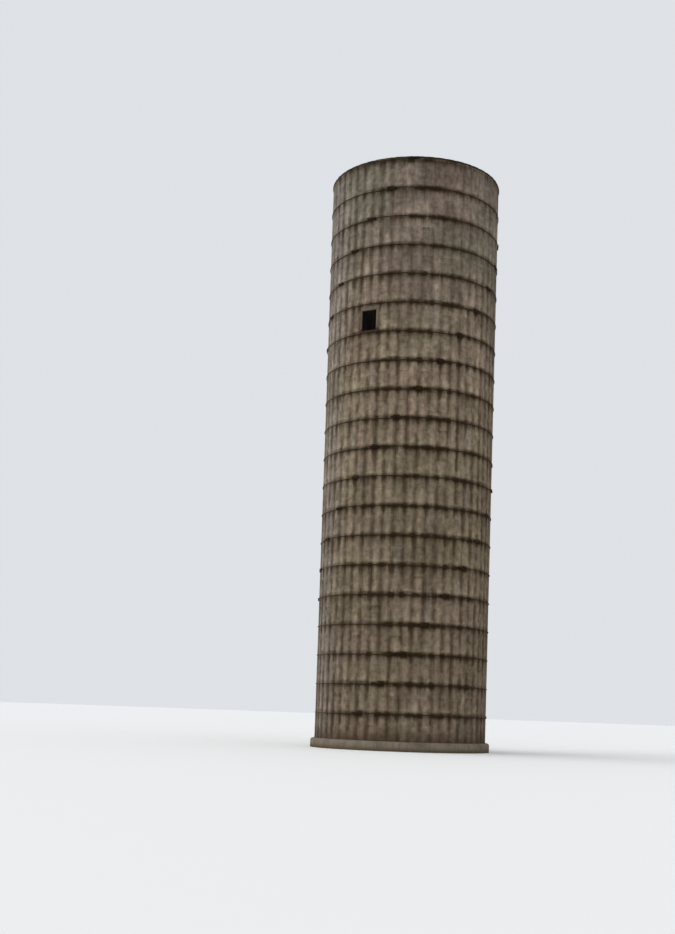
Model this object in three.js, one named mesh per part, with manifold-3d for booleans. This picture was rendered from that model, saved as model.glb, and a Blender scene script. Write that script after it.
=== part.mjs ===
// Concrete stave silo: a round shell of upright concrete staves, held together by steel
// hoops, on a cast foundation curb with a floor slab, open at the top, with one small window.
// Millimetres, +Z up. The origin is the centre of the underside, at ground level, and the
// window faces -Y.

import * as THREE from 'three';
import { mergeVertices } from 'three/addons/utils/BufferGeometryUtils.js';
import Module from 'manifold-3d';

const wasm = await Module();
wasm.setup();

// Wall
const staveCount = 52;
const staveHeight = 762;
const courseCount = 20;
const wallThickness = 63.5;
const outerFace = 2290; // from the silo's axis square to the middle of a stave's face

// Outer face of one stave, from its middle to its joint
const ridgeWidth = 148;
const bevelWidth = 46;
const valleyDepth = 13;

// Foundation
const curbHeight = 250;
const curbOuterRadius = 2400;
const curbInnerRadius = 2150;
const curbWashStart = 2315; // the curb's top is level up to here, then falls outwards
const curbWashEdge = 2372;
const curbWashDrop = 18;
const curbEdgeDrop = 45;
const floorTop = 150;

// The wall is made in equal upright stretches, and the window takes the width of one
const panelStaves = 2;

// Window
const windowClearLeft = 252; // from the joint behind the window's middle to the opening's sides
const windowClearRight = 190;
const windowSillTop = 10908;
const windowClearHeight = 539;
const windowSillThickness = 60;
const windowHeadThickness = 102;
const windowFrameFace = 2277; // from the silo's axis to the flat face of the frame
const windowFrameDepth = 60;

// Hoops
const hoopBar = 18;
const hoopBelowJoint = 86;
const hoopBelowRim = 46; // the top hoop sits nearer the edge
const hoopStagger = 20; // rods pass each other in a lug, this far above and below its middle
const lugLength = 190;
const lugHeight = 76;
const lugDepth = 44;
const lugsPerHoop = 3;
const lugShift = -2; // each hoop's lugs stand this many joints round from those above
const topHoopLug = 21; // joint, counted from the window's middle, of the top hoop's first lug

const seat = 0.3; // clearance between pieces that touch

const staveAngle = (2 * Math.PI) / staveCount;
const halfStave = staveAngle / 2;
const wallTop = curbHeight + courseCount * staveHeight;
const windowAngle = -Math.PI / 2;
const windowBottom = windowSillTop - windowSillThickness;
const windowTop = windowSillTop + windowClearHeight + windowHeadThickness;

const silo = new THREE.Group();

// Finishes
const concrete = (color) => new THREE.MeshStandardMaterial({ color, roughness: 0.94, metalness: 0 });
const staveConcrete = () => concrete(0x6a6052);
const castConcrete = () => concrete(0x77716a);
const rustedSteel = () => new THREE.MeshStandardMaterial({ color: 0x3a2c22, roughness: 0.8, metalness: 0.5 });

function addPiece(name, geometry, material) {
  const mesh = new THREE.Mesh(geometry, material);
  mesh.name = name;
  silo.add(mesh);
}

// Joint number to its direction round the silo; joint 0 is the window's middle
const jointAngle = (joint) => windowAngle + joint * staveAngle;

// Point at a stave, from its middle line outwards: along is sideways, out is from the axis
function stavePoint(centreAngle, along, out) {
  const c = Math.cos(centreAngle);
  const s = Math.sin(centreAngle);
  return new THREE.Vector2(out * c - along * s, out * s + along * c);
}

// Plan of a stretch of wall: each stave has a flat ridge, a bevel at each side and half a
// valley at each joint, and a flat inner face
function wallPlan(firstJoint, staves) {
  const valley = outerFace - valleyDepth;
  const inner = outerFace - wallThickness;
  const outside = [];
  const inside = [];
  for (let i = 0; i < staves; i += 1) {
    const centre = jointAngle(firstJoint + i + 0.5);
    const startGap = i === 0 ? seat / 2 : 0;
    const endGap = i === staves - 1 ? seat / 2 : 0;
    const foot = ridgeWidth / 2 + bevelWidth;
    if (i === 0) {
      outside.push(stavePoint(centre, startGap - valley * Math.tan(halfStave), valley));
      inside.push(stavePoint(centre, startGap - inner * Math.tan(halfStave), inner));
    }
    outside.push(stavePoint(centre, -foot, valley));
    outside.push(stavePoint(centre, -ridgeWidth / 2, outerFace));
    outside.push(stavePoint(centre, ridgeWidth / 2, outerFace));
    outside.push(stavePoint(centre, foot, valley));
    outside.push(stavePoint(centre, valley * Math.tan(halfStave) - endGap, valley));
    inside.push(stavePoint(centre, inner * Math.tan(halfStave) - endGap, inner));
  }
  return new THREE.Shape([...outside, ...inside.reverse()]);
}

function raise(plan, bottom, top) {
  const geometry = new THREE.ExtrudeGeometry(plan, { depth: top - bottom, bevelEnabled: false });
  geometry.translate(0, 0, bottom);
  return geometry;
}

// Foundation curb, with a wash outside the wall, and the floor slab inside it
const curbSection = [
  [curbInnerRadius, 0],
  [curbOuterRadius, 0],
  [curbOuterRadius, curbHeight - curbEdgeDrop],
  [curbWashEdge, curbHeight - curbWashDrop],
  [curbWashStart, curbHeight],
  [curbInnerRadius, curbHeight],
  [curbInnerRadius, 0],
].map(([radius, height]) => new THREE.Vector2(radius, height));
const curb = new THREE.LatheGeometry(curbSection, staveCount);
curb.rotateX(Math.PI / 2);
addPiece('foundation_curb', curb, castConcrete());

const floorRadius = curbInnerRadius - seat;
const floor = new THREE.CylinderGeometry(floorRadius, floorRadius, floorTop, staveCount);
floor.rotateX(Math.PI / 2);
floor.translate(0, 0, floorTop / 2);
addPiece('floor_slab', floor, castConcrete());

// Stave wall round the sides and back, in upright stretches of two staves from curb to rim
const panelCount = staveCount / panelStaves - 1;
const wallFoot = curbHeight + seat;
for (let i = 0; i < panelCount; i += 1) {
  const plan = wallPlan((i + 0.5) * panelStaves, panelStaves);
  const name = `stave_wall_${String(i + 1).padStart(2, '0')}`;
  addPiece(name, raise(plan, wallFoot, wallTop), staveConcrete());
}

// Front stretch of the wall, below and above the window
const frontPlan = wallPlan(-panelStaves / 2, panelStaves);
addPiece('front_wall_below_window', raise(frontPlan, wallFoot, windowBottom), staveConcrete());
addPiece('front_wall_above_window', raise(frontPlan, windowTop, wallTop), staveConcrete());

// Window frame: plain cast head, sill and jambs with a flat face, keyed between the staves
const frameBack = windowFrameFace - windowFrameDepth;
const frameSlope = Math.tan((panelStaves / 2) * staveAngle);
const wallSide = (side) => (distance) => side * (distance * frameSlope - seat);
const clearLeft = () => -windowClearLeft;
const clearRight = () => windowClearRight;

// Plan of a frame piece, between two sides that give their place at any distance from the axis
function framePlan(left, right) {
  return new THREE.Shape([
    new THREE.Vector2(left(windowFrameFace), -windowFrameFace),
    new THREE.Vector2(right(windowFrameFace), -windowFrameFace),
    new THREE.Vector2(right(frameBack), -frameBack),
    new THREE.Vector2(left(frameBack), -frameBack),
  ]);
}

const clearTop = windowSillTop + windowClearHeight;
const acrossPlan = framePlan(wallSide(-1), wallSide(1));
const leftJambPlan = framePlan(wallSide(-1), clearLeft);
const rightJambPlan = framePlan(clearRight, wallSide(1));
addPiece('window_sill', raise(acrossPlan, windowBottom + seat, windowSillTop), castConcrete());
addPiece('window_head', raise(acrossPlan, clearTop, windowTop - seat), castConcrete());
addPiece('window_jamb_left', raise(leftJambPlan, windowSillTop + seat, clearTop - seat), castConcrete());
addPiece('window_jamb_right', raise(rightJambPlan, windowSillTop + seat, clearTop - seat), castConcrete());

// A closed three.js geometry as a solid that can be joined, and back again
function toSolid(geometry) {
  const bare = geometry.clone();
  bare.deleteAttribute('normal');
  bare.deleteAttribute('uv');
  const merged = mergeVertices(bare, 1e-3);
  const vertProperties = new Float32Array(merged.attributes.position.array);
  const triVerts = new Uint32Array(merged.index.array);
  return new wasm.Manifold(new wasm.Mesh({ numProp: 3, vertProperties, triVerts }));
}

function toGeometry(solid) {
  const mesh = solid.getMesh();
  const geometry = new THREE.BufferGeometry();
  geometry.setAttribute('position', new THREE.BufferAttribute(mesh.vertProperties, 3));
  geometry.setIndex(new THREE.BufferAttribute(mesh.triVerts, 1));
  geometry.computeVertexNormals();
  return geometry;
}

// One rod of a hoop: straight along each stave's face, bent at each joint, and falling
// slowly from the upper hole of one lug to the lower hole of the next
const rodRadius = (outerFace + seat + hoopBar / 2) / Math.cos(halfStave);
function hoopRod(startJoint, staves, height) {
  const bend = (i) => {
    const angle = jointAngle(startJoint + i);
    const z = height + hoopStagger - (2 * hoopStagger * i) / staves;
    return new THREE.Vector3(rodRadius * Math.cos(angle), rodRadius * Math.sin(angle), z);
  };
  const path = new THREE.CurvePath();
  for (let i = 0; i < staves; i += 1) {
    path.add(new THREE.LineCurve3(bend(i), bend(i + 1)));
  }
  const half = hoopBar / 2;
  const section = new THREE.Shape();
  section.moveTo(-half, -half);
  section.lineTo(half, -half);
  section.lineTo(half, half);
  section.lineTo(-half, half);
  return new THREE.ExtrudeGeometry(section, { steps: staves, extrudePath: path, bevelEnabled: false });
}

// Cast lug over a joint, bearing on the ridges of the two staves beside it
const ridgeStart = outerFace * Math.tan(halfStave) - ridgeWidth / 2;
const lugBack = outerFace / Math.cos(halfStave) - ridgeStart * Math.sin(halfStave) + seat;
function hoopLug(joint, height) {
  const lug = new THREE.BoxGeometry(lugDepth, lugLength, lugHeight);
  lug.translate(lugBack + lugDepth / 2, 0, 0);
  lug.rotateZ(jointAngle(joint));
  lug.translate(0, 0, height);
  return lug;
}

// A hoop: rods of nearly equal length, joined by the lugs that their ends pass through
function hoop(number) {
  const height = wallTop - (number === 0 ? hoopBelowRim : hoopBelowJoint + number * staveHeight);
  const firstLug = topHoopLug + number * lugShift;
  const lugJoint = (i) => firstLug + Math.round((i * staveCount) / lugsPerHoop);
  let ring = null;
  for (let i = 0; i < lugsPerHoop; i += 1) {
    const rod = toSolid(hoopRod(lugJoint(i), lugJoint(i + 1) - lugJoint(i), height));
    const lug = toSolid(hoopLug(lugJoint(i), height));
    const piece = rod.add(lug);
    ring = ring === null ? piece : ring.add(piece);
  }
  return toGeometry(ring);
}

for (let i = 0; i < courseCount; i += 1) {
  addPiece(`hoop_${String(i + 1).padStart(2, '0')}`, hoop(i), rustedSteel());
}

export default silo;
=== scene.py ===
import math
from types import SimpleNamespace

import bpy
import numpy as np
from mathutils import Matrix, Vector


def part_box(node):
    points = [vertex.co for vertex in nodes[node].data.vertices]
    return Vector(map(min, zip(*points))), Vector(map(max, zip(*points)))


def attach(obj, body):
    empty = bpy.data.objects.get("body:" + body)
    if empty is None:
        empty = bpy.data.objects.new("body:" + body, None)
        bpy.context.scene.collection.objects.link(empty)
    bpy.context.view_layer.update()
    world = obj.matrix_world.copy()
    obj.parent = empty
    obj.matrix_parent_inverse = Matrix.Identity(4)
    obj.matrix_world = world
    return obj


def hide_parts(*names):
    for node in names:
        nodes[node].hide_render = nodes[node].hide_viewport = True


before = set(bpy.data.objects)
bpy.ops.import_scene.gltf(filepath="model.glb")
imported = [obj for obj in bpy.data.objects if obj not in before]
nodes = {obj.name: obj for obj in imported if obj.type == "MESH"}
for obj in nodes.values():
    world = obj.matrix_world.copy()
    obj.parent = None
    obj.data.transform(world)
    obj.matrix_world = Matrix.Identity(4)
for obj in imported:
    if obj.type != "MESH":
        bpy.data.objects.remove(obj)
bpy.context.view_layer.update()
print("CAD model loaded:", len(nodes), "nodes")

# The photograph's viewpoint: where the camera stands round the silo and how it is turned,
# in metres and degrees, with the lens given by its focal length in pixels of the image
cameraView = {
    "azimuth": 29.0,
    "distance": 35.37,
    "height": 0.983,
    "pitch": 4.834,
    "yaw": -2.908,
    "roll": 1.963,
    "focalPixels": 1305.8,
    "principalRow": 600,
    "imageHeight": 934,
    "sensor": 36.0,
    "clipEnd": 2000,
}


def makeCamera(view):
    data = bpy.data.cameras.new("camera")
    data.sensor_width = view["sensor"]
    data.lens = view["focalPixels"] * view["sensor"] / view["imageHeight"]
    data.shift_y = (view["principalRow"] - view["imageHeight"] / 2) / view["imageHeight"]
    data.clip_end = view["clipEnd"]
    camera = bpy.data.objects.new("camera", data)
    bpy.context.scene.collection.objects.link(camera)
    azimuth, pitch = math.radians(view["azimuth"]), math.radians(view["pitch"])
    yaw, roll = math.radians(view["yaw"]), math.radians(view["roll"])
    place = Vector((math.sin(azimuth), -math.cos(azimuth), 0)) * view["distance"]
    place.z = view["height"]
    camera.matrix_world = (
        Matrix.Translation(place)
        @ Matrix.Rotation(azimuth - yaw, 4, "Z")
        @ Matrix.Rotation(math.pi / 2 + pitch, 4, "X")
        @ Matrix.Rotation(roll, 4, "Z")
    )
    bpy.context.scene.camera = camera


makeCamera(cameraView)
print("camera placed")


# Shader maths


class Wire:
    # Wraps one output of a shader node, so that shader maths reads as plain expressions
    def __init__(self, socket):
        self.socket = socket

    def make(self, kind, settings=None, sockets=None, output=0):
        # A node of any kind: its settings go in first, then the values or links of its sockets
        tree = self.socket.id_data
        node = tree.nodes.new("ShaderNode" + kind)
        for name, value in (settings or {}).items():
            setattr(node, name, value)
        for key, value in (sockets or {}).items():
            if isinstance(value, Wire):
                tree.links.new(value.socket, node.inputs[key])
            else:
                node.inputs[key].default_value = value
        return Wire(node.outputs[output])

    def math(self, operation, first, second=0.0):
        return self.make("Math", {"operation": operation}, {0: first, 1: second})

    def __add__(self, other):
        return self.math("ADD", self, other)

    def __sub__(self, other):
        return self.math("SUBTRACT", self, other)

    def __rsub__(self, other):
        return self.math("SUBTRACT", other, self)

    def __mul__(self, other):
        return self.math("MULTIPLY", self, other)

    def __truediv__(self, other):
        return self.math("DIVIDE", self, other)

    def __abs__(self):
        return self.math("ABSOLUTE", self)

    __radd__ = __add__
    __rmul__ = __mul__

    def fraction(self):
        return self.math("FRACT", self)

    def atMost(self, other):
        return self.math("MINIMUM", self, other)

    def atLeast(self, other):
        return self.math("MAXIMUM", self, other)

    def rise(self, low, high):
        # 0 up to low, 1 from high on, with a smooth rise between; low may be above high
        settings = {"interpolation_type": "SMOOTHSTEP"}
        return self.make("MapRange", settings, {"Value": self, "From Min": low, "From Max": high})

    def stretched(self, x, y, z):
        return self.make("VectorMath", {"operation": "MULTIPLY"}, {0: self, 1: (x, y, z)})

    def noise(self, scale, detail, rough=0.55):
        sockets = {"Vector": self, "Scale": scale, "Detail": detail, "Roughness": rough}
        return self.make("TexNoise", None, sockets)

    def cells(self, scale):
        return self.make("TexVoronoi", None, {"Vector": self, "Scale": scale})

    def part(self, axis):
        return self.make("SeparateXYZ", None, {0: self}, axis)

    def mix(self, first, second):
        # the first colour where this is 0, the second where it is 1
        return self.make("Mix", {"data_type": "RGBA"}, {0: self, 6: first, 7: second}, 2)

    def tinted(self, amount, shade):
        # this colour, gone over to an everyday 0 to 255 colour as far as the amount says
        return amount.mix(self, paint(*shade))

    def shaded(self, amount):
        # this colour, made lighter or darker by a factor
        grey = self.make("CombineXYZ", None, {0: amount, 1: amount, 2: amount})
        return self.make("VectorMath", {"operation": "MULTIPLY"}, {0: self, 1: grey})


def paint(red, green, blue):
    # an everyday 0 to 255 colour as the linear colour that shaders use
    values = np.array([red, green, blue]) / 255
    linear = np.where(values > 0.04045, ((values + 0.055) / 1.055) ** 2.4, values / 12.92)
    return (*linear.tolist(), 1.0)


def startMaterial(name, look):
    material = bpy.data.materials.new(name)
    material.use_nodes = True
    shader = material.node_tree.nodes["Principled BSDF"]
    shader.inputs["Specular IOR Level"].default_value = look["specular"]
    place = Wire(shader.outputs[0]).make("TexCoord", None, None, "Object")
    return material, shader, place


def endMaterial(shader, look, colour, roughness, relief):
    # the relief runs from about 0 to 1, and the look says how many metres that is
    sockets = {"Strength": 1.0, "Distance": look["relief"], "Height": relief}
    normal = colour.make("Bump", None, sockets)
    links = shader.id_data.links
    links.new(colour.socket, shader.inputs["Base Color"])
    links.new(roughness.socket, shader.inputs["Roughness"])
    links.new(normal.socket, shader.inputs["Normal"])


def fromAxis(place):
    # a point's distance from the silo's axis
    flat = place.stretched(1, 1, 0)
    return flat.make("VectorMath", {"operation": "LENGTH"}, {0: flat}, "Value")


# Measures taken from the CAD model


def nodePoints(name):
    # the corners of a CAD node, in metres
    mesh = nodes[name].data
    points = np.empty(len(mesh.vertices) * 3, np.float32)
    mesh.vertices.foreach_get("co", points)
    return points.reshape(-1, 3).astype(float)


# firstLug is the joint of the top hoop's first lug, counted from the window's middle, and each
# hoop's lugs stand lugShift joints round from those above. The hoops are darkest towards
# stainedSide, in degrees from the window's side, and opposite it, and palest halfway between.
silo = {
    "staves": 52, "courses": 20, "windowAngle": -math.pi / 2,
    "lugsPerHoop": 3, "firstLug": 21, "lugShift": -2, "stainedSide": 40,
}
staveAngle = 2 * math.pi / silo["staves"]
halfStave = staveAngle / 2
wallNodes = sorted(n for n in nodes if n.startswith(("stave_wall", "front_wall")))
hoopNodes = sorted(n for n in nodes if n.startswith("hoop"))
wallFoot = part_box("front_wall_below_window")[0].z
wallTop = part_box("front_wall_above_window")[1].z
staveHeight = (wallTop - wallFoot) / silo["courses"]
firstStave = silo["windowAngle"] + halfStave
frontPoints = nodePoints("front_wall_below_window")
outerFace = (frontPoints[:, :2] @ [math.cos(firstStave), math.sin(firstStave)]).max()
innerFace = np.hypot(frontPoints[:, 0], frontPoints[:, 1]).min() * math.cos(halfStave)
hoopHeight = {n: (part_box(n)[0].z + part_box(n)[1].z) / 2 for n in hoopNodes}
topHoop = sorted(hoopHeight.values())[-2] + staveHeight  # where an evenly spaced one would be
print(f"wall {wallFoot:.3f} to {wallTop:.3f} m, faces at {innerFace:.4f} and {outerFace:.4f} m")


# Meshes


def addPiece(name, points, faces, material, replaced, sharp, attributes=None):
    # One finished piece: edges that turn by more than sharp, in radians, are shaded as edges
    mesh = bpy.data.meshes.new(name)
    mesh.from_pydata(np.asarray(points).reshape(-1, 3).tolist(), [], faces)
    mesh.polygons.foreach_set("use_smooth", np.ones(len(mesh.polygons), bool))
    mesh.set_sharp_from_angle(angle=sharp)
    for key, values in (attributes or {}).items():
        layer = mesh.attributes.new(key, "FLOAT_VECTOR", "POINT")
        layer.data.foreach_set("vector", np.asarray(values, np.float32).ravel())
    mesh.materials.append(material)
    mesh.validate()
    piece = bpy.data.objects.new(name, mesh)
    bpy.context.scene.collection.objects.link(piece)
    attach(piece, "root")
    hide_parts(*replaced)
    return piece


def loftFaces(bodies, rings, sides, closed=False):
    # Quads between the rings of several equal lofts, stored one after the other, with each
    # loft's two ends shut by a face of its own, or joined to each other where it is closed
    ring = np.arange(rings if closed else rings - 1)[:, None]
    side = np.arange(sides)[None, :]
    nextRing, nextSide = (ring + 1) % rings, (side + 1) % sides
    quad = np.stack(
        np.broadcast_arrays(
            ring * sides + side,
            ring * sides + nextSide,
            nextRing * sides + nextSide,
            nextRing * sides + side,
        ),
        -1,
    ).reshape(-1, 4)
    start = np.arange(bodies)[:, None, None] * rings * sides
    faces = (quad[None] + start).reshape(-1, 4).tolist()
    if not closed:
        first = start[:, 0] + np.arange(sides)[None, ::-1]
        last = start[:, 0] + (rings - 1) * sides + np.arange(sides)[None, :]
        faces += first.tolist() + last.tolist()
    return faces


def turned(angle, along, out, height):
    # Points given along the wall's tangent, outwards from the axis and upwards, at an angle
    x = out * np.cos(angle) - along * np.sin(angle)
    y = out * np.sin(angle) + along * np.cos(angle)
    return np.stack(np.broadcast_arrays(x, y, height), -1)


def ripple(angle, seed, waves, amount):
    # Smooth ups and downs round the silo: the mean of sines with whole numbers of waves
    sines = 7
    rng = np.random.default_rng(seed)
    count = rng.integers(waves[0], waves[1], sines)[:, None]
    phase = rng.uniform(0, 2 * np.pi, sines)[:, None]
    return amount * np.sin(count * np.ravel(angle)[None] + phase).mean(0).reshape(np.shape(angle))


# Staves

# In metres: edge is how far a stave's edges are eased, and chip how far a chipped one's ends
# are, sunk is the most that a stave stands back, and one cut shorter than shortest is left out
stave = {
    "ridgeWidth": 0.148,
    "bevelWidth": 0.046,
    "valleyDepth": 0.013,
    "sideGap": 0.0004,
    "edge": 0.003,
    "sunk": 0.0022,
    "chip": 0.007,
    "chippedShare": 0.08,
    "shortest": 0.02,
    "seed": 11,
    "sharp": 0.5,
}


def staveSection(s):
    # Plan of one stave, going round it: flat ridge, a bevel that eases in and out at each
    # side, a strip of valley up to the joint, small edges at the joint and a flat inner face.
    # The gap at the joint closes inwards, where neighbours meet.
    valley = outerFace - s["valleyDepth"]
    ease = np.array([0.0, 0.22, 0.5, 0.78, 1.0])
    bevelAlong = s["ridgeWidth"] / 2 + s["bevelWidth"] * (1 - ease)
    bevelOut = valley + s["valleyDepth"] * ease**2 * (3 - 2 * ease)
    joint = valley * math.tan(halfStave) - s["sideGap"] / 2
    sideDepth = valley - s["edge"]
    along = np.array([joint - s["edge"] * math.tan(halfStave), joint - s["edge"], *bevelAlong])
    out = np.array([sideDepth, valley, *bevelOut])
    innerAlong = innerFace * math.tan(halfStave)
    along = np.concatenate([-along, along[::-1], [innerAlong, -innerAlong]])
    out = np.concatenate([out, out[::-1], [innerFace, innerFace]])
    return along, out


def staveTable(s):
    # Every stave of the silo: its left joint, bottom and top, with alternate columns half a
    # stave lower, and four random numbers: for its lightness, for its hue, for both its
    # set-back and the dirt at its top, and for its chips
    joint, course = np.meshgrid(
        np.arange(silo["staves"]), np.arange(silo["courses"] + 1), indexing="ij"
    )
    bottom = wallFoot + (course - 0.5 * (joint % 2)) * staveHeight
    chance = np.random.default_rng(s["seed"]).random((*joint.shape, 4))
    return joint.ravel(), bottom.ravel(), bottom.ravel() + staveHeight, chance.reshape(-1, 4)


def stavesOf(node, table, s):
    # The staves that stand in one stretch of wall, each a closed block of four level rings:
    # the lowest and the highest are drawn in on the outer side, which eases or chips the ends
    joint, bottom, top, chance = table
    low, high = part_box(node)[0].z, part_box(node)[1].z
    middle = nodePoints(node)[:, :2].mean(0)
    first = round((math.atan2(middle[1], middle[0]) - silo["windowAngle"]) / staveAngle - 1)
    inStretch = np.isin(joint, [first % silo["staves"], (first + 1) % silo["staves"]])
    low, high = np.maximum(bottom, low), np.minimum(top, high)
    kept = inStretch & (high - low > s["shortest"])
    joint, low, high, chance = joint[kept], low[kept], high[kept], chance[kept]
    along, out = staveSection(s)
    centre = (silo["windowAngle"] + (joint + 0.5) * staveAngle)[:, None, None]
    chipped = chance[:, 3] < s["chippedShare"]
    edge = np.where(chipped, s["chip"], s["edge"])[:, None]
    heights = np.stack([low, low + edge[:, 0], high - edge[:, 0], high], -1)[:, :, None]
    outerSide = out > innerFace
    inset = np.array([1.0, 0.0, 0.0, 1.0])[None, :, None] * edge[:, :, None] * outerSide
    width = 2 * np.abs(along).max()
    thickness = outerFace - innerFace
    middleOut = (outerFace + innerFace) / 2
    a = along * (1 - 2 * inset / width)
    o = middleOut + (out - middleOut) * (1 - 2 * inset / thickness)
    sunk = s["sunk"] * chance[:, 2][:, None, None] * outerSide
    points = turned(centre, a, o - sunk, heights)
    shape = points.shape[:3]
    fromBottom = np.broadcast_to(heights - heights[:, :1], shape)
    fromTop = np.broadcast_to(heights[:, -1:] - heights, shape)
    place = np.stack([np.broadcast_to(along, shape), fromBottom, fromTop], -1)
    tone = np.broadcast_to(chance[:, None, None, :3], (*shape, 3))
    faces = loftFaces(len(joint), 4, len(along))
    return points, faces, {"stavePlace": place, "staveTone": tone}


def facing(place, degrees):
    # how far a point lies out towards one side, in metres, turned from the window's side
    turn = math.radians(degrees)
    side = (math.sin(turn), -math.cos(turn), 0)
    return place.make("VectorMath", {"operation": "DOT_PRODUCT"}, {0: place, 1: side}, "Value")


def onSide(place, degrees, start, full):
    # 0 up to one share of the wall's radius out towards a side, 1 from another share on
    return facing(place, degrees).rise(start * outerFace, full * outerFace)


def belowRim(height, start, full):
    # 0 up to one depth below the rim, in metres, 1 from another on, in either direction
    return height.rise(wallTop - start, wallTop - full)


def nearHoop(belowHoop, below, above):
    # 1 at each hoop, down to 0 over given shares of the spacing below it and above it
    return belowHoop.rise(*below).atLeast(belowHoop.rise(*above))


def wallFields(place, look):
    # What the wall's finish is worked out from at each point: where it lies on its stave, in
    # metres, its stave's random numbers, how far it is below a hoop, as a share of their
    # spacing, and from a lug, in staves, and the patterns that several effects share
    attribute = lambda name: place.make("Attribute", {"attribute_name": name}, None, "Vector")
    spot, tone = attribute("stavePlace"), attribute("staveTone")
    wall = SimpleNamespace(place=place, height=place.part(2))
    wall.across, wall.fromBottom, wall.fromTop = abs(spot.part(0)), spot.part(1), spot.part(2)
    wall.lightChance, wall.hueChance, wall.weepChance = tone.part(0), tone.part(1), tone.part(2)
    hoopsDown = (topHoop - wall.height) / staveHeight
    wall.belowHoop = hoopsDown.fraction()
    turn = place.part(1).math("ARCTAN2", place.part(1), place.part(0))
    joints = (turn - silo["windowAngle"]) / staveAngle - silo["firstLug"]
    joints = joints - silo["lugShift"] * hoopsDown.math("ROUND", hoopsDown)
    lugSpacing = silo["staves"] / silo["lugsPerHoop"]
    wall.fromLug = joints.math("PINGPONG", joints, lugSpacing / 2)

    wall.cloud = place.noise(2.3, 5.0, 0.6)
    wall.grain = place.noise(38.0, 5.0, 0.65)
    wall.sand = place.noise(190.0, 3.0, 0.6)
    wall.pits = place.cells(70.0).rise(0.16, 0.02)
    wall.wash = place.stretched(1, 1, 0.05).noise(45.0, 4.0, 0.6)
    wall.run = place.stretched(1, 1, 0.06).noise(9.0, 4.0, 0.6).rise(0.46, 0.68)
    wall.broadRun = place.stretched(1, 1, 0.09).noise(5.0, 3.0, 0.6)
    wall.dirty = place.stretched(1, 1, 0.75).noise(3.4, 2.0).rise(0.38, 0.6)
    wall.lower = belowRim(wall.height, *look["plainDepth"])
    wall.ribbed = onSide(place, look["ribbedSide"], 0.8, 0.96)
    wall.valley = wall.lower.atLeast(wall.ribbed * 0.8)
    wall.valley = wall.across.rise(0.02, 0.13) * (0.1 + 0.8 * wall.valley)
    return wall


def bareColour(wall, look):
    # Warm grey going to olive and to pinkish brown in wide patches, with a few staves of a
    # colder grey. It is greyer and plainer near the rim, and pale and grey down one side.
    region = wall.place.noise(0.45, 2.0)
    warmth = wall.place.stretched(1, 1, 0.7).noise(0.8, 2.0)
    colour = region.rise(0.38, 0.62).mix(paint(*look["concrete"]), paint(*look["olive"]))
    colour = colour.tinted(warmth.rise(0.48, 0.62) * 0.65, look["pink"])
    colour = colour.tinted(wall.hueChance.rise(0.93, 0.98) * 0.35, look["cold"])
    colour = colour.tinted(wall.cloud.rise(0.52, 0.78) * 0.5, look["pale"])
    blush = onSide(wall.place, look["pinkSide"], 0.88, 0.99)
    blush = blush * belowRim(wall.height, *look["blushDepth"])
    grey = blush.atLeast(warmth.rise(0.46, 0.64) * 0.5)
    grey = grey.mix(paint(*look["greenGrey"]), paint(*look["pinkGrey"]))
    colour = (0.7 - 0.7 * wall.lower).mix(colour, grey)
    washed = onSide(wall.place, look["washedSide"], 0.85, 1)
    return colour.tinted(washed * 0.4, look["washedGrey"])


def lightness(wall, look):
    # Lighter on the ridges than in the valleys, as painted light on the raised faces, and more so
    # on one side; lighter just above each hoop, most on the ridges, where the wall dries first;
    # lighter halfway up one side, and darker at the foot. It varies from stave to stave, in tall
    # patches, in blotches near the rim and in fine grain, and it is darker in the pits, as
    # painted shade in the hollows.
    ridge = wall.across.rise(0.11, 0.03)
    drying = wall.belowHoop.rise(0.55, 0.84) * wall.belowHoop.rise(0.93, 0.87)
    drying = drying * (0.4 + 0.6 * ridge)
    # the ridges lighter than the valleys: painted light on the raised faces
    light = 1 + look["dryBand"] * drying + (look["ridge"] + 0.12 * wall.ribbed) * ridge
    light = light * (1 + look["staveSpread"] * (wall.lightChance - 0.5))
    tall = wall.place.stretched(1, 1, 0.4).noise(1.7, 3.0, 0.6) - 0.5
    blotch = wall.place.noise(1.3, 2.0, 0.5) - 0.5
    blotch = look["blotches"] * (1 - wall.lower) * blotch
    light = light * (1 + look["tallSpread"] * tall + blotch)
    light = light * (0.78 + 0.44 * wall.cloud) * (0.84 + 0.32 * wall.grain)
    deep = belowRim(wall.height, *look["footDepth"])
    light = light * (1 - deep * (look["footShade"] + 0.1 * wall.ribbed))
    bright = onSide(wall.place, look["pinkSide"], 0.75, 0.95)
    bright = bright * belowRim(wall.height, *look["brightStart"])
    bright = bright * belowRim(wall.height, *look["brightEnd"])
    light = light * (1 + look["bright"] * bright)
    # darker in the pits: painted shade in the hollows
    light = light * (0.9 + 0.2 * wall.sand) * (0.91 + 0.18 * wall.wash) * (1 - 0.45 * wall.pits)
    mottle = wall.place.stretched(1, 1, 1.2).noise(7.0, 2.0, 0.6) - 0.5
    smear = wall.place.stretched(1, 1, 0.35).noise(11.0, 1.5, 0.5) - 0.5
    return light * (1 + look["mottle"] * mottle + look["smear"] * smear)


def withLichen(colour, wall, look):
    # Small uneven spots, in loose groups
    spots = wall.place.cells(31.0).rise(0.42, 0.1)
    spots = spots * wall.place.noise(1.9, 3.0, 0.6).rise(0.52, 0.62)
    spots = spots * wall.grain.rise(0.5, 0.6) * wall.sand.rise(0.4, 0.55)
    return colour.tinted(spots * 0.6, look["lichen"])


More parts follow.
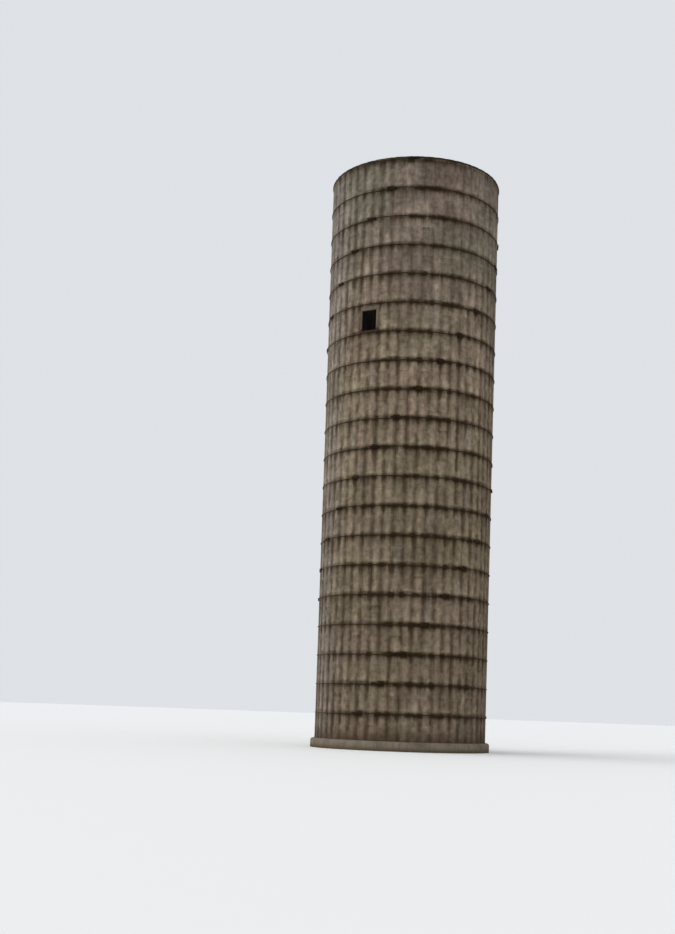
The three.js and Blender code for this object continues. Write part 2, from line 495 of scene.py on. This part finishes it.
def withDirtAndShade(colour, wall, look):
    # Dirt in the valleys together with painted shade in the recess between the ridges, in some
    # much more than in others and more lower down; below the hoops, rust stain with painted
    # shadow right under each rod; in long runs and below some level joints
    # rust stain below each hoop, with painted shadow right under the rod
    stainAndShadowBelowHoop = wall.belowHoop.rise(0.42, 0.0)
    # the valleys darken as dirt and as painted shade in the recess
    inValley = look["valleyDirtAndShade"] + 0.56 * wall.dirty + 0.2 * stainAndShadowBelowHoop + 0.16 * wall.run
    dirt = wall.valley * inValley
    dirt = dirt + stainAndShadowBelowHoop * (0.24 - 0.07 * wall.lower + 0.5 * wall.run)
    dirt = dirt + wall.broadRun.rise(0.48, 0.7) * look["runs"]
    weep = wall.fromTop.rise(*look["weepLength"]) * wall.weepChance.rise(0.7, 0.8)
    dirt = dirt * (0.55 + 0.9 * wall.wash) + look["weep"] * weep
    return colour.tinted(dirt.atMost(0.9), look["dirt"])


def withHoopStainsAndShadows(colour, wall, look):
    # A nearly black band along each hoop, broken and uneven: partly rust stain and partly painted
    # shadow of the rod. It spreads where it meets a valley, with painted shade in the gap under
    # the rod, and most of all round the lugs, as stain and painted shadow under them. Near the
    # rim it is widest towards the stained side and opposite it.
    patchy = wall.place.stretched(1, 1, 0.6).noise(4.6, 2.0, 0.5).rise(0.32, 0.66)
    band = nearHoop(wall.belowHoop, (0.18, 0.01), (0.85, 0.99))
    # stain and painted shadow along the rod, darker where the rod spans a valley
    band = band * (look["hoopStainAndShadow"] * (0.5 + wall.lower) + 0.6 * patchy + 0.3 * wall.valley)
    front = abs(facing(wall.place, silo["stainedSide"])) / outerFace
    wide = nearHoop(wall.belowHoop, (0.22, 0.03), (0.83, 0.97))
    band = band + wide * front.rise(0.88, 0.99) * (1 - wall.lower) * look["wideStainAndShadow"]
    # stain and painted shadow round the lugs
    lugStainAndShadow = nearHoop(wall.belowHoop, (0.2, 0.05), (0.87, 0.93)) * wall.fromLug.rise(0.55, 0.2)
    band = band.atLeast(lugStainAndShadow * look["lugStainAndShadow"])
    drip = wall.belowHoop.rise(0.26, 0.02) * (0.3 * patchy + 0.35 * wall.run)
    broken = 1.05 + 0.9 * (wall.grain - 0.5) + 0.5 * (wall.wash - 0.5)
    band = band.atLeast(drip) * broken * (1.25 * front - 0.12).atLeast(0.05)
    return colour.tinted(band.atMost(0.94), look["sootAndShadow"])


def withJoints(colour, wall, look):
    # Dark lines at the joints between staves, the upright ones in the dirtier places
    upright = wall.across.rise(*look["uprightJoint"]) * (0.15 + 0.5 * wall.dirty)
    level = wall.fromBottom.atMost(wall.fromTop).rise(*look["levelJoint"])
    return colour.tinted(upright.atLeast(level * 0.3), look["crack"])


def withSplashAndSideShade(colour, wall, look):
    # Splashed soil just above the curb, and painted shade that darkens the side away from the
    # light
    splash = wall.height.rise(wallFoot + look["splash"], wallFoot) * (0.3 + 0.8 * wall.cloud)
    colour = colour.tinted(splash.atMost(0.7), look["dirt"])
    # painted shade: darker towards the side that faces away from the light
    paintedSideShade = onSide(wall.place, look["paintedShadeSide"], 0.5, 0.8)
    return colour.shaded(1 - look["paintedSideShade"] * paintedSideShade)


def withRimAndShadedLining(colour, wall, look):
    # A dark edge and moss along the rim, the edge partly stain and partly painted shadow of the
    # top hoop, and a dark lining inside, partly stain and partly painted shade, with paler runs
    moss = wall.place.noise(3.1, 4.0, 0.65)
    # the rim's dark edge: stain and painted shadow of the top hoop
    darkRim = belowRim(wall.height, *look["rimBand"]) * (0.35 + 0.65 * moss.rise(0.35, 0.6))
    colour = colour.tinted(darkRim, look["rimDark"])
    mossy = belowRim(wall.height, *look["mossBand"]) * moss.rise(0.5, 0.62)
    colour = colour.tinted(mossy * 0.85, look["moss"])
    runs = wall.broadRun.rise(0.45, 0.75)
    # the dark inner face: stain and painted shade
    liningStainAndShade = runs.mix(paint(*look["liningStainAndShade"]), paint(*look["liningPale"]))
    start, full = look["liningFace"]
    return fromAxis(wall.place).rise(innerFace + start, innerFace + full).mix(colour, liningStainAndShade)


def staveConcrete(look):
    material, shader, place = startMaterial("weathered_stave_concrete", look)
    wall = wallFields(place, look)
    colour = bareColour(wall, look).shaded(lightness(wall, look))
    colour = withDirtAndShade(withLichen(colour, wall, look), wall, look)
    colour = withJoints(withHoopStainsAndShadows(colour, wall, look), wall, look)
    colour = withRimAndShadedLining(withSplashAndSideShade(colour, wall, look), wall, look)
    roughness = 0.86 + 0.14 * wall.grain
    relief = wall.grain * 0.7 + wall.sand * 0.25 - wall.pits * 0.5 + wall.cloud * 0.5
    endMaterial(shader, look, colour, roughness, relief)
    return material


# Colours first, then how strong each effect is, and the sides that some effects lie on, in
# degrees from the window's side. The rest is in metres: depths below the rim between which an
# effect comes or goes, the lining's reach out from the inner face, distances from a stave's
# middle and from its ends, the height of the splashed soil, and the depth of the relief.
staveLook = {
    "concrete": (116, 103, 87),
    "olive": (113, 102, 83),
    "pink": (119, 102, 89),
    "cold": (110, 102, 96),
    "pale": (137, 124, 106),
    "greenGrey": (101, 96, 86),
    "pinkGrey": (109, 95, 87),
    "washedGrey": (114, 108, 105),
    "dirt": (56, 44, 30),
    # the hoop band's near-black: rust stain and painted shadow
    "sootAndShadow": (38, 28, 15),
    "crack": (38, 30, 20),
    "rimDark": (56, 51, 39),
    "moss": (44, 46, 22),
    "lichen": (140, 134, 112),
    # the inner face's dark colour: stain and painted shade
    "liningStainAndShade": (50, 44, 39),
    "liningPale": (72, 65, 57),
    "specular": 0.04,
    "dryBand": 0.19,
    # how much lighter the ridges are, as painted light
    "ridge": 0.05,
    "blotches": 1.3,
    "footShade": 0.1,
    "bright": 0.07,
    "staveSpread": 0.16,
    "tallSpread": 1.1,
    "mottle": 1.25,
    "smear": 0.85,
    # valley darkening: dirt and painted shade in the recess
    "valleyDirtAndShade": 0.08,
    "runs": 0.17,
    "weep": 0.3,
    # strength of the hoop band of stain and painted shadow, near the rim and round the lugs
    "hoopStainAndShadow": 0.22,
    "wideStainAndShadow": 0.24,
    "lugStainAndShadow": 0.95,
    # how dark the painted shade on the side away from the light is
    "paintedSideShade": 0.16,
    "washedSide": -45,
    "ribbedSide": -10,
    "pinkSide": 56,
    # the side that the painted shade darkens, away from the light
    "paintedShadeSide": 139,
    "plainDepth": (0, 7.0),
    "blushDepth": (2.4, 1.0),
    "footDepth": (6.5, 11),
    "brightStart": (3.2, 4.6),
    "brightEnd": (10.5, 7.5),
    "rimBand": (0.075, 0.01),
    "mossBand": (0.16, 0.03),
    "liningFace": (0.016, 0.006),
    "uprightJoint": (0.1335, 0.1365),
    "levelJoint": (0.005, 0.002),
    "weepLength": (0.13, 0.0),
    "splash": 0.45,
    "relief": 0.004,
}

wallMaterial = staveConcrete(staveLook)
allStaves = staveTable(stave)
for node in wallNodes:
    points, faces, attributes = stavesOf(node, allStaves, stave)
    name = "staves_of_" + node
    addPiece(name, points, faces, wallMaterial, [node], stave["sharp"], attributes)
print("staves set in", len(wallNodes), "stretches of wall")


# Hoops

# In metres: seat is the gap to the wall, stagger how far each rod is above or below a lug's
# middle, standOff how far it is out from the lug's back, settle how long it takes to come
# down to the wall, and bend how far its bends lie from a ridge's edge
hoop = {
    "rod": 0.009,
    "sides": 10,
    "seat": 0.0003,
    "stagger": 0.020,
    "lugLength": 0.190,
    "lugClear": 0.010,
    "standOff": 0.018,
    "settle": 0.30,
    "bend": 0.006,
    "washer": {"sides": 12, "radius": 0.0195, "length": 0.003, "ease": 0.0006},
    "nut": {"sides": 6, "radius": 0.0165, "length": 0.016, "ease": 0.0018},
    "nutSeed": 100,
    "threadLength": 0.045,
    "threadPitch": 0.004,
    "threadDepth": 0.0011,
    "wobble": 0.004,
    "wobbleWaves": (3, 26),
    "sharp": 0.6,
}
ridgeEdge = stave["ridgeWidth"] / 2
ridgeLine = outerFace + hoop["seat"] + hoop["rod"]
jointStart = outerFace * math.tan(halfStave) - ridgeEdge
lugBack = outerFace / math.cos(halfStave) - jointStart * math.sin(halfStave) + hoop["seat"]
lugLine = lugBack + hoop["standOff"]
rodReach = hoop["lugLength"] / 2 + hoop["washer"]["length"] + hoop["nut"]["length"]
rodReach += hoop["threadLength"]


def jointAngle(joint):
    # the direction of a joint between staves, counted from the one behind the window
    return silo["windowAngle"] + joint * staveAngle


def rodPoints(startJoint, staves, height, seed, h):
    # One rod between two lugs. It is straight through each lug, comes down to the wall beyond
    # it, and then bears on both edges of each ridge and runs straight across each valley. It
    # falls slowly from the upper hole of the first lug to the lower hole of the last.
    edge = (ridgeEdge + h["bend"] * np.array([-1.0, 1.0])) / outerFace
    offsets = np.concatenate([-edge[::-1], edge])
    centres = jointAngle(startJoint + np.arange(staves) + 0.5)
    onWall = (centres[:, None] + offsets).ravel()
    start, end = jointAngle(startJoint), jointAngle(startJoint + staves)
    clear = (h["lugLength"] / 2 + h["lugClear"]) / lugLine
    onWall = onWall[(onWall > start + clear) & (onWall < end - clear)]
    inLug = np.linspace(-h["lugLength"] / 2, h["lugLength"] / 2, 3) / lugLine
    thread = np.arange(0, h["threadLength"] / h["threadPitch"] * 2 + 1)
    threadAlong = rodReach - thread * h["threadPitch"] / 2
    angle = np.concatenate(
        [start - threadAlong / lugLine, start + inLug, onWall, end + inLug,
         end + threadAlong[::-1] / lugLine]
    )
    ridges = (angle - jointAngle(0)) / staveAngle
    fromCentre = (ridges - np.floor(ridges) - 0.5) * staveAngle
    chordLine = ridgeLine * math.cos(halfStave) + ridgeEdge * math.sin(halfStave)
    onRidge = ridgeLine / np.cos(fromCentre)
    overValley = chordLine / np.cos(halfStave - np.abs(fromCentre))
    alongWall = np.minimum(onRidge, overValley)
    fromLug = np.minimum(np.abs(angle - start), np.abs(angle - end)) * lugLine
    throughLug = lugLine / np.cos(fromLug / lugLine)
    beyond = (angle < start) | (angle > end)
    t = np.clip((fromLug - h["lugLength"] / 2) / h["settle"], 0, 1)
    hold = np.where(beyond, 1.0, 1 - t * t * (3 - 2 * t))
    radius = alongWall + (throughLug - alongWall) * hold
    share = np.clip((angle - start) / (end - start), 0, 1)
    level = height + h["stagger"] * (1 - 2 * share)
    level = level + ripple(angle, seed, h["wobbleWaves"], h["wobble"]) * np.sin(np.pi * share)
    thick = np.full(len(angle), h["rod"])
    count = len(thread)
    grooves = h["threadDepth"] * (thread % 2)
    thick[:count] -= grooves
    thick[-count:] -= grooves[::-1]
    thick[[0, -1]] = h["rod"] - 2 * h["threadDepth"]
    centre = np.stack([radius * np.cos(angle), radius * np.sin(angle), level], -1)
    return centre, thick


def tube(centre, thick, sides):
    # Rings square to a path, each of its own radius
    ahead = np.gradient(centre, axis=0)
    ahead /= np.linalg.norm(ahead, axis=1, keepdims=True)
    outward = centre * [1, 1, 0]
    outward -= (outward * ahead).sum(1, keepdims=True) * ahead
    outward /= np.linalg.norm(outward, axis=1, keepdims=True)
    upward = np.cross(ahead, outward)
    turn = np.linspace(0, 2 * np.pi, sides, endpoint=False)[None, :, None]
    ring = np.cos(turn) * outward[:, None] + np.sin(turn) * upward[:, None]
    return centre[:, None] + ring * thick[:, None, None]


# The lug's rings stand along it in mm, each with its barrel's radius in mm, and the rib's
# shoulder and crown are shares of its height and of its thickness
lugShape = {
    "along": (-95, -92, -76, -68, -30, 30, 68, 76, 92, 95),
    "barrel": (16, 18, 18, 15, 14.5, 14.5, 15, 18, 18, 16),
    "web": 0.0085,
    "sides": 24,
}
ribShape = {
    "length": 0.120,
    "height": 0.0255,
    "foot": 0.004,
    "halfThickness": 0.005,
    "shoulder": 0.92,
    "crown": 0.6,
    "steps": 7,
}


def lugBody(lug):
    # Two barrels, one for each rod, joined by a thinner web: each ring is a pair of circles
    # with a waist between them, thicker at the collars that the nuts bear on
    turn = np.linspace(0, 2 * np.pi, lug["sides"], endpoint=False)[None]
    barrel = np.array(lug["barrel"])[:, None] / 1000
    half = hoop["stagger"]
    waist = np.maximum(barrel**2 - (half * np.sin(turn)) ** 2, lug["web"] ** 2)
    reach = half * np.abs(np.cos(turn)) + np.sqrt(waist)
    out = lugLine + reach * np.sin(turn)
    height = reach * np.cos(turn)
    along = np.broadcast_to(np.array(lug["along"])[:, None] / 1000, out.shape)
    return along, np.maximum(out, lugBack), height


def lugRib(rib):
    # A rib along the web's outer side, low at its ends and highest in the middle
    along = np.linspace(-1, 1, rib["steps"])[:, None] * rib["length"] / 2
    crest = rib["foot"] + (rib["height"] - rib["foot"]) * (1 - (2 * along / rib["length"]) ** 2)
    shoulder = crest * rib["shoulder"]
    out = lugLine + np.hstack([0 * crest, shoulder, crest, crest, shoulder, 0 * crest])
    crown = rib["crown"]
    side = np.array([-1.0, -1.0, -crown, crown, 1.0, 1.0])[None] * rib["halfThickness"]
    along, side = np.broadcast_to(along, out.shape), np.broadcast_to(side, out.shape)
    return along, out, -side


def nutAndWasher(end, turn):
    # A washer and a six-sided nut on one end of a rod, each of four rings of points: the two
    # outer rings are a little smaller, which eases the edges
    start = hoop["lugLength"] / 2
    parts = []
    for part in (hoop["washer"], hoop["nut"]):
        radius, length, ease = part["radius"], part["length"], part["ease"]
        angle = turn + np.linspace(0, 2 * np.pi, part["sides"], endpoint=False)[None]
        size = np.array([radius - ease, radius, radius, radius - ease])[:, None]
        place = start + np.array([0, ease, length - ease, length])[:, None]
        along = end * np.broadcast_to(place, (4, part["sides"]))
        out = lugLine + size * np.cos(angle)
        height = -end * (hoop["stagger"] + size * np.sin(angle))
        parts.append((along, out, height))
        start += length
    return parts


def hoopMesh(number, height, h):
    # All of one hoop: three rods, three lugs, and a nut and washer on each rod's end
    count = silo["lugsPerHoop"]
    first = silo["firstLug"] + number * silo["lugShift"]
    lugs = [first + round(i * silo["staves"] / count) for i in range(count + 1)]
    rng = np.random.default_rng(h["nutSeed"] + number)
    points, faces = [], []

    def addLoft(rings):
        shift = sum(len(p) for p in points)
        count, sides = rings.shape[:2]
        points.append(rings.reshape(-1, 3))
        faces.extend([i + shift for i in face] for face in loftFaces(1, count, sides))

    for i in range(count):
        centre, thick = rodPoints(lugs[i], lugs[i + 1] - lugs[i], height, 10 * number + i, h)
        addLoft(tube(centre, thick, h["sides"]))
        shapes = [lugBody(lugShape), lugRib(ribShape)]
        shapes += nutAndWasher(1, rng.uniform(0, 1)) + nutAndWasher(-1, rng.uniform(0, 1))
        for along, out, level in shapes:
            addLoft(turned(jointAngle(lugs[i]), along, out, height + level))
    return np.concatenate(points), faces


def rustedIron(look):
    # Brown rust over a darker one, washed pale along two sides, sooty on the lugs, with
    # flecks of fresher orange
    material, shader, place = startMaterial("rusted_hoop_iron", look)
    shader.inputs["Metallic"].default_value = look["metallic"]
    patch = place.noise(7.0, 5.0, 0.65)
    fine = place.noise(120.0, 5.0, 0.65)
    flake = place.cells(160.0)
    colour = patch.rise(0.62, 0.36).mix(paint(*look["rust"]), paint(*look["dark"]))
    start, full = look["lugFace"]
    onLug = fromAxis(place).rise(outerFace + start, outerFace + full)
    onLug = onLug * (0.85 - 0.4 * patch.rise(0.42, 0.58))
    front = abs(facing(place, silo["stainedSide"]))
    washed = front.rise(0.6 * outerFace, 0.15 * outerFace)
    colour = colour.tinted(washed * (0.75 - 0.5 * onLug), look["washed"])
    colour = colour.tinted(onLug, look["lug"])
    fresh = patch.rise(0.55, 0.75) * fine.rise(0.4, 0.65) * (0.8 - 0.6 * onLug)
    colour = colour.tinted(fresh, look["orange"]).shaded(0.72 + 0.56 * fine)
    endMaterial(shader, look, colour, 0.68 + 0.3 * fine, fine * 0.7 + flake * 0.4)
    return material


# lugFace is how far out from the wall's face, in metres, the lugs' soot begins and is full
hoopLook = {
    "rust": (60, 42, 24),
    "dark": (40, 28, 16),
    "lug": (27, 19, 11),
    "orange": (84, 52, 28),
    "washed": (96, 80, 62),
    "specular": 0.08,
    "metallic": 0.1,
    "lugFace": (0.021, 0.027),
    "relief": 0.0012,
}

hoopMaterial = rustedIron(hoopLook)
for number, node in enumerate(hoopNodes):
    points, faces = hoopMesh(number, hoopHeight[node], hoop)
    addPiece("rods_of_" + node, points, faces, hoopMaterial, [node], hoop["sharp"])
print("hoops tied:", len(hoopNodes))


# Foundation

# The curb's worn edge is given by points in from its outer radius and down from its top, and
# its outer face by points in from that radius and a share of the height up. Wear starts at
# one radius and is full a little further out.
curb = {
    "outer": 2.400,
    "inner": 2.150,
    "innerEdge": 0.004,
    "wornEdge": (
        (0.085, 0.0005), (0.055, 0.009), (0.032, 0.017),
        (0.018, 0.026), (0.008, 0.036), (0.003, 0.052),
    ),
    "face": ((0.0015, 0.6), (0.0005, 0.3)),
    "footEdge": (0.006, 0.012),
    "steps": 260,
    "wearStart": 2.32,
    "wearWidth": 0.05,
    "uneven": 0.003,
    "waves": (5, 60),
    "seed": 5,
    "sharp": 0.7,
}


def curbSection(c):
    # Upright section of the curb, going round it from the foot of its inner side
    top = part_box("foundation_curb")[1].z
    inner, outer, edge = c["inner"], c["outer"], c["innerEdge"]
    inwards, upwards = c["footEdge"]
    section = [(inner, 0), (inner, top / 2), (inner, top - edge), (inner + edge, top)]
    section += [(outerFace, top)]
    section += [(outer - back, top - down) for back, down in c["wornEdge"]]
    section += [(outer - back, top * share) for back, share in c["face"]]
    section += [(outer, upwards), (outer - inwards, 0)]
    return np.array(section)


def curbMesh(c):
    # The section carried round the axis, with its outer side worn back unevenly: by a ripple
    # round the silo times slanting waves
    section = curbSection(c)
    angle = np.linspace(0, 2 * np.pi, c["steps"], endpoint=False)[:, None]
    radius, height = section[None, :, 0], section[None, :, 1]
    outside = np.clip((radius - c["wearStart"]) / c["wearWidth"], 0, 1)
    worn = ripple(angle, c["seed"], c["waves"], 0.5) + 0.5
    worn = worn * (0.6 + 0.4 * np.sin(height * 40 + 9 * angle))
    radius = radius - c["uneven"] * outside * np.abs(worn)
    height = np.broadcast_to(height, radius.shape)
    points = np.stack([radius * np.cos(angle), radius * np.sin(angle), height], -1)
    return points, loftFaces(1, c["steps"], section.shape[0], closed=True)


def castConcrete(name, look):
    # Grey with paler clouds, dirty runs and blotches, stones showing here and there, and soil
    # that gathers between two heights
    material, shader, place = startMaterial(name, look)
    cloud = place.noise(3.0, 5.0, 0.6)
    grain = place.noise(45.0, 5.0, 0.65)
    stone = place.cells(55.0)
    streak = place.stretched(1, 1, 0.12).noise(14.0, 4.0, 0.6)
    colour = (cloud.rise(0.48, 0.75) * 0.7).mix(paint(*look["concrete"]), paint(*look["pale"]))
    dirt = streak.rise(0.5, 0.72) * look["runs"]
    dirt = dirt.atLeast(cloud.rise(0.5, 0.3) * look["blotches"])
    colour = colour.tinted(dirt, look["dirt"])
    showing = stone.rise(0.24, 0.12) * grain.rise(0.5, 0.6) * 0.5
    colour = colour.tinted(showing, look["stone"])
    soiled = place.part(2).rise(*look["soiled"]) * (0.4 + 0.9 * cloud)
    colour = colour.tinted(soiled.atMost(0.85), look["soil"]).shaded(0.84 + 0.32 * grain)
    relief = grain * 0.8 + cloud * 0.8 + stone * 0.3
    endMaterial(shader, look, colour, 0.85 + 0.15 * grain, relief)
    return material


# Soil gathers from the first height of soiled to the second, in metres; none on the floor
curbLook = {
    "concrete": (113, 104, 90),
    "pale": (131, 122, 107),
    "dirt": (66, 57, 45),
    "stone": (96, 90, 82),
    "soil": (74, 62, 46),
    "specular": 0.05,
    "runs": 0.5,
    "blotches": 0.5,
    "soiled": (0.16, 0.0),
    "relief": 0.005,
}
floorLook = {
    "concrete": (88, 80, 68),
    "pale": (106, 97, 82),
    "dirt": (48, 40, 32),
    "stone": (80, 74, 66),
    "soil": (60, 50, 38),
    "specular": 0.05,
    "runs": 0.3,
    "blotches": 0.7,
    "soiled": (0.0, -0.1),
    "relief": 0.004,
}
points, faces = curbMesh(curb)
curbMaterial = castConcrete("cast_curb_concrete", curbLook)
replaced = ["foundation_curb"]
addPiece("cast_curb", points, faces, curbMaterial, replaced, curb["sharp"])

# The slab's rings begin at a small hub: a share of its radius on top, and metres below
slab = {
    "rings": 30,
    "steps": 130,
    "topHub": 0.004,
    "footHub": 0.010,
    "edge": 0.006,
    "uneven": 0.004,
    "sharp": 0.7,
}


def slabMesh(s):
    # A disc whose top is worn down in low waves that fade out at its edge, with that edge eased
    # and a flat underside. Its rings run between the middles of its two faces.
    low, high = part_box("floor_slab")
    radius = high.x
    top = high.z
    edge = s["edge"]
    spread = np.linspace(s["topHub"], 1 - edge / radius, s["rings"]) * radius
    ring = np.concatenate([spread, [radius, radius, radius - edge, radius / 2, s["footHub"]]])
    level = np.concatenate([np.full(s["rings"], top), [top - edge, edge, 0.0, 0.0, 0.0]])
    angle = np.linspace(0, 2 * np.pi, s["steps"], endpoint=False)[None]
    ring, level = ring[:, None], level[:, None]
    x, y = ring * np.cos(angle), ring * np.sin(angle)
    wave = np.sin(3.1 * x + 1.0) * np.sin(2.3 * y + 0.4) + 0.6 * np.sin(7.9 * x - 5.3 * y)
    drop = s["uneven"] * (0.5 + 0.3 * wave) * (level > top - 0.001) * (1 - (ring / radius) ** 6)
    points = np.stack([x, y, level - np.maximum(drop, 0)], -1)
    return points[::-1], loftFaces(1, len(ring), s["steps"])


points, faces = slabMesh(slab)
floorMaterial = castConcrete("floor_slab_concrete", floorLook)
addPiece("trowelled_floor", points, faces, floorMaterial, ["floor_slab"], slab["sharp"])
print("curb and floor cast")


# Window

windowFrame = {"edge": 0.005, "corner": 0.3, "sharp": 0.5}


def framePiece(node, w):
    # A cast bar between two upright sides that may slope in plan, with eased edges: its four
    # corners in plan come from the CAD node, and its rings shrink a little at top and bottom
    points = nodePoints(node)
    low, high = points.min(0), points.max(0)
    middleDepth = (low[1] + high[1]) / 2
    face, back = points[points[:, 1] < middleDepth], points[points[:, 1] > middleDepth]
    plan = np.array([
        [face[:, 0].min(), low[1]], [face[:, 0].max(), low[1]],
        [back[:, 0].max(), high[1]], [back[:, 0].min(), high[1]],
    ])
    edge, corner = w["edge"], w["corner"]
    outline = []
    for i in range(4):
        point, after, before = plan[i], plan[(i + 1) % 4], plan[i - 1]
        toBefore = (before - point) / np.linalg.norm(before - point)
        toAfter = (after - point) / np.linalg.norm(after - point)
        outline.append(point + toBefore * edge)
        outline.append(point + (toBefore + toAfter) * edge * corner)
        outline.append(point + toAfter * edge)
    outline = np.array(outline)
    middle = plan.mean(0)
    half = np.abs(outline - middle).max(0)
    inset = np.array([1, corner, 0, 0, 0, 0, corner, 1])[:, None, None] * edge
    tall = high[2] - low[2]
    foot = np.array([0, corner * edge, edge, tall * 0.35])
    height = low[2] + np.concatenate([foot, tall - foot[::-1]])
    ring = middle + (outline[None] - middle) * (1 - inset / half)
    level = np.broadcast_to(height[:, None, None], (*ring.shape[:2], 1))
    return np.concatenate([ring, level], -1), loftFaces(1, *ring.shape[:2])


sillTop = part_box("window_sill")[1].z
frameLook = {
    "concrete": (99, 88, 76),
    "pale": (110, 100, 88),
    "dirt": (58, 48, 36),
    "stone": (86, 78, 68),
    "soil": (40, 31, 21),
    "specular": 0.05,
    "runs": 0.5,
    "blotches": 0.4,
    "soiled": (sillTop + 0.09, sillTop - 0.015),
    "relief": 0.004,
}
frameMaterial = castConcrete("window_frame_concrete", frameLook)
for node in ("window_sill", "window_head", "window_jamb_left", "window_jamb_right"):
    points, faces = framePiece(node, windowFrame)
    sharp = windowFrame["sharp"]
    addPiece("cast_" + node, points, faces, frameMaterial, [node], sharp)
print("window framed")


# Stage and light

# Each light has its strength and, in degrees, its softness, how far round from the camera it
# stands, and how high
stage = {
    "size": 600,
    "floor": (226, 226, 224),
    "floorRoughness": 0.9,
    "sky": (236, 239, 243),
    "skyStrength": 0.88,
    "lights": {"soft_key": (1.55, 70, -88, 36), "soft_fill": (0.55, 70, 15, 25)},
}


def makeStage(s):
    half = s["size"] / 2
    corners = [(-half, -half, 0), (half, -half, 0), (half, half, 0), (-half, half, 0)]
    mesh = bpy.data.meshes.new("studio_floor")
    mesh.from_pydata(corners, [], [(0, 1, 2, 3)])
    floor = bpy.data.objects.new("studio_floor", mesh)
    bpy.context.scene.collection.objects.link(floor)
    material = bpy.data.materials.new("studio_floor")
    material.use_nodes = True
    shader = material.node_tree.nodes["Principled BSDF"]
    shader.inputs["Base Color"].default_value = paint(*s["floor"])
    shader.inputs["Roughness"].default_value = s["floorRoughness"]
    mesh.materials.append(material)

    world = bpy.data.worlds.new("studio")
    world.use_nodes = True
    background = world.node_tree.nodes["Background"]
    background.inputs["Color"].default_value = paint(*s["sky"])
    background.inputs["Strength"].default_value = s["skyStrength"]
    bpy.context.scene.world = world

    for name, (strength, softness, side, lift) in s["lights"].items():
        light = bpy.data.lights.new(name, "SUN")
        light.energy = strength
        light.angle = math.radians(softness)
        lamp = bpy.data.objects.new(name, light)
        bpy.context.scene.collection.objects.link(lamp)
        turn, rise = math.radians(cameraView["azimuth"] + side), math.radians(lift)
        level = math.cos(rise)
        towards = Vector((math.sin(turn) * level, -math.cos(turn) * level, math.sin(rise)))
        lamp.matrix_world = towards.to_track_quat("Z", "Y").to_matrix().to_4x4()
    bpy.context.scene.view_settings.view_transform = "Standard"


makeStage(stage)
print("stage and light set")
